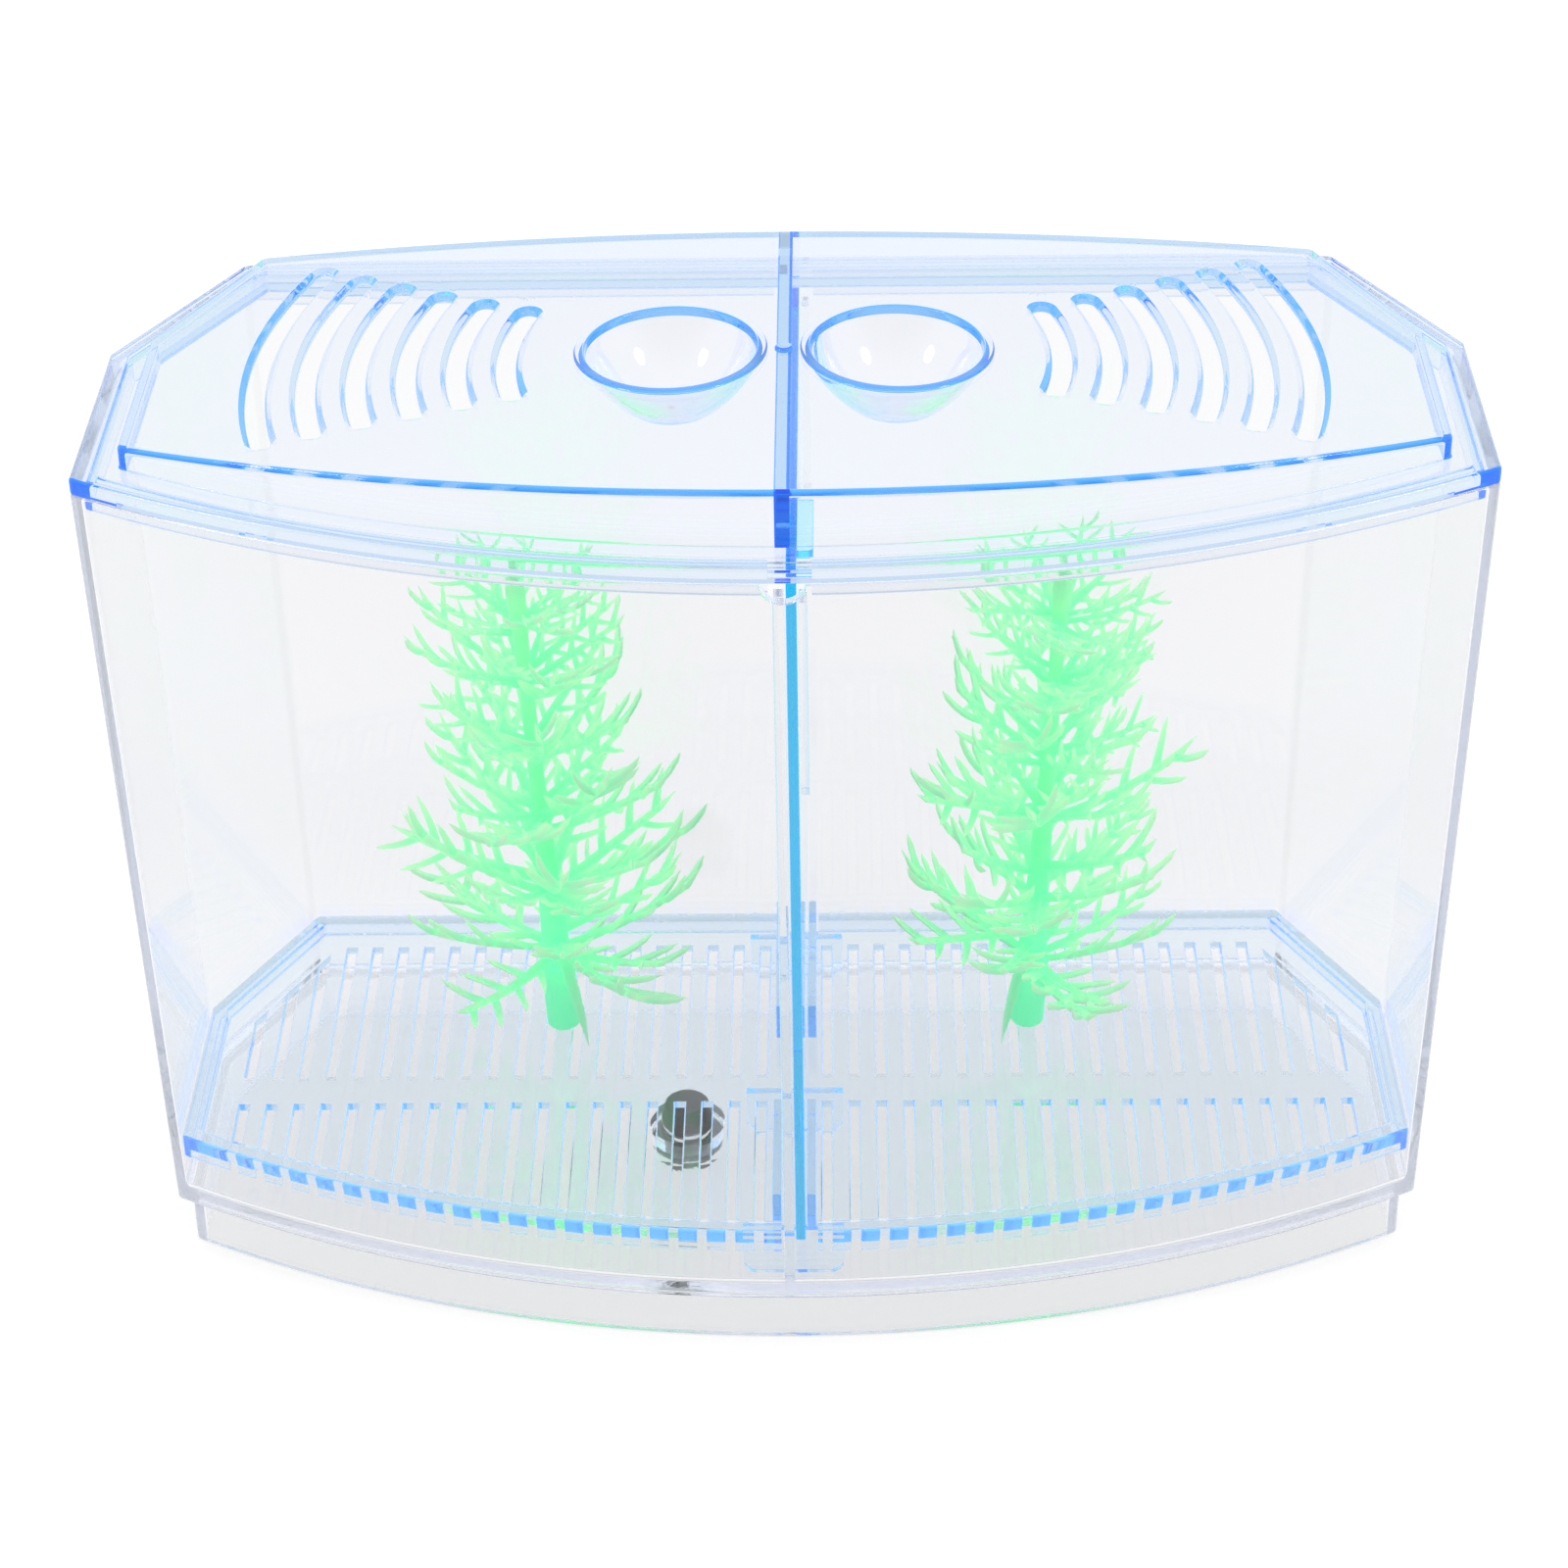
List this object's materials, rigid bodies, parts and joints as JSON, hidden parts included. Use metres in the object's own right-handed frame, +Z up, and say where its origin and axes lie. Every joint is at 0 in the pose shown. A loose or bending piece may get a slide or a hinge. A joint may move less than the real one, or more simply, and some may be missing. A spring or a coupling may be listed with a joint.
{
  "type": "desktop aquarium",
  "caption": "Bow-fronted clear desktop fish tank with a vented blue-tinted lid, feeding bowls in its roof, a slotted floor tray, a divider and plastic plants.",
  "frame": {"origin": "on the surface that the tank stands on, under the middle of its plan", "axes": "+X to the right along the tank's width, +Y to the flat back, +Z up"},
  "size_m": [0.19, 0.0886, 0.141],
  "materials": {
    "clear_plastic": "clear moulded plastic, glossy, transparent",
    "blue_clear_plastic": "blue-tinted clear plastic, glossy",
    "pale_blue_plastic": "pale blue-tinted clear plastic, glossy",
    "azure_plastic": "azure clear plastic sheet, glossy",
    "dark_rubber": "satin moulded rubber",
    "green_plastic": "soft translucent plastic, satin"
  },
  "bodies": {
    "tank": {"tank": "clear_plastic"},
    "lid": {"lid": "blue_clear_plastic"},
    "tray": {"floor_tray": "pale_blue_plastic"},
    "divider": {"divider": "azure_plastic"},
    "plug": {"drain_plug": "dark_rubber"},
    "plant_left": {"plant_left_base": "green_plastic", "plant_left_stem": "green_plastic", "plant_left_whorl_1": "green_plastic", "plant_left_whorl_2": "green_plastic", "plant_left_whorl_3": "green_plastic", "plant_left_whorl_4": "green_plastic", "plant_left_whorl_5": "green_plastic", "plant_left_whorl_6": "green_plastic"},
    "plant_right": {"plant_right_base": "green_plastic", "plant_right_stem": "green_plastic", "plant_right_whorl_1": "green_plastic", "plant_right_whorl_2": "green_plastic", "plant_right_whorl_3": "green_plastic", "plant_right_whorl_4": "green_plastic", "plant_right_whorl_5": "green_plastic", "plant_right_whorl_6": "green_plastic"}
  },
  "joints": [
    {"name": "lid_lift", "type": "slide", "parent": "tank", "child": "lid", "axis": [0, 0, 1], "range_m": [0, 0.3]},
    {"name": "divider_lift", "type": "slide", "parent": "tank", "child": "divider", "axis": [0, 0, 1], "range_m": [0, 0.18]},
    {"name": "plant_left_lift", "type": "slide", "parent": "tank", "child": "plant_left", "axis": [0, 0, 1], "range_m": [0, 0.18]},
    {"name": "plant_right_lift", "type": "slide", "parent": "tank", "child": "plant_right", "axis": [0, 0, 1], "range_m": [0, 0.18]},
    {"name": "tray_lift", "type": "slide", "parent": "tank", "child": "tray", "axis": [0, 0, 1], "range_m": [0, 0.126]},
    {"name": "plug_pull", "type": "slide", "parent": "tank", "child": "plug", "axis": [0, 0, -1], "range_m": [0, 0.014]}
  ],
  "couplings": [
    {"joint": "divider_lift", "follows": "lid_lift", "ratio": 0.6},
    {"joint": "plant_left_lift", "follows": "lid_lift", "ratio": 0.6},
    {"joint": "plant_right_lift", "follows": "lid_lift", "ratio": 0.6},
    {"joint": "tray_lift", "follows": "lid_lift", "ratio": 0.42}
  ]
}
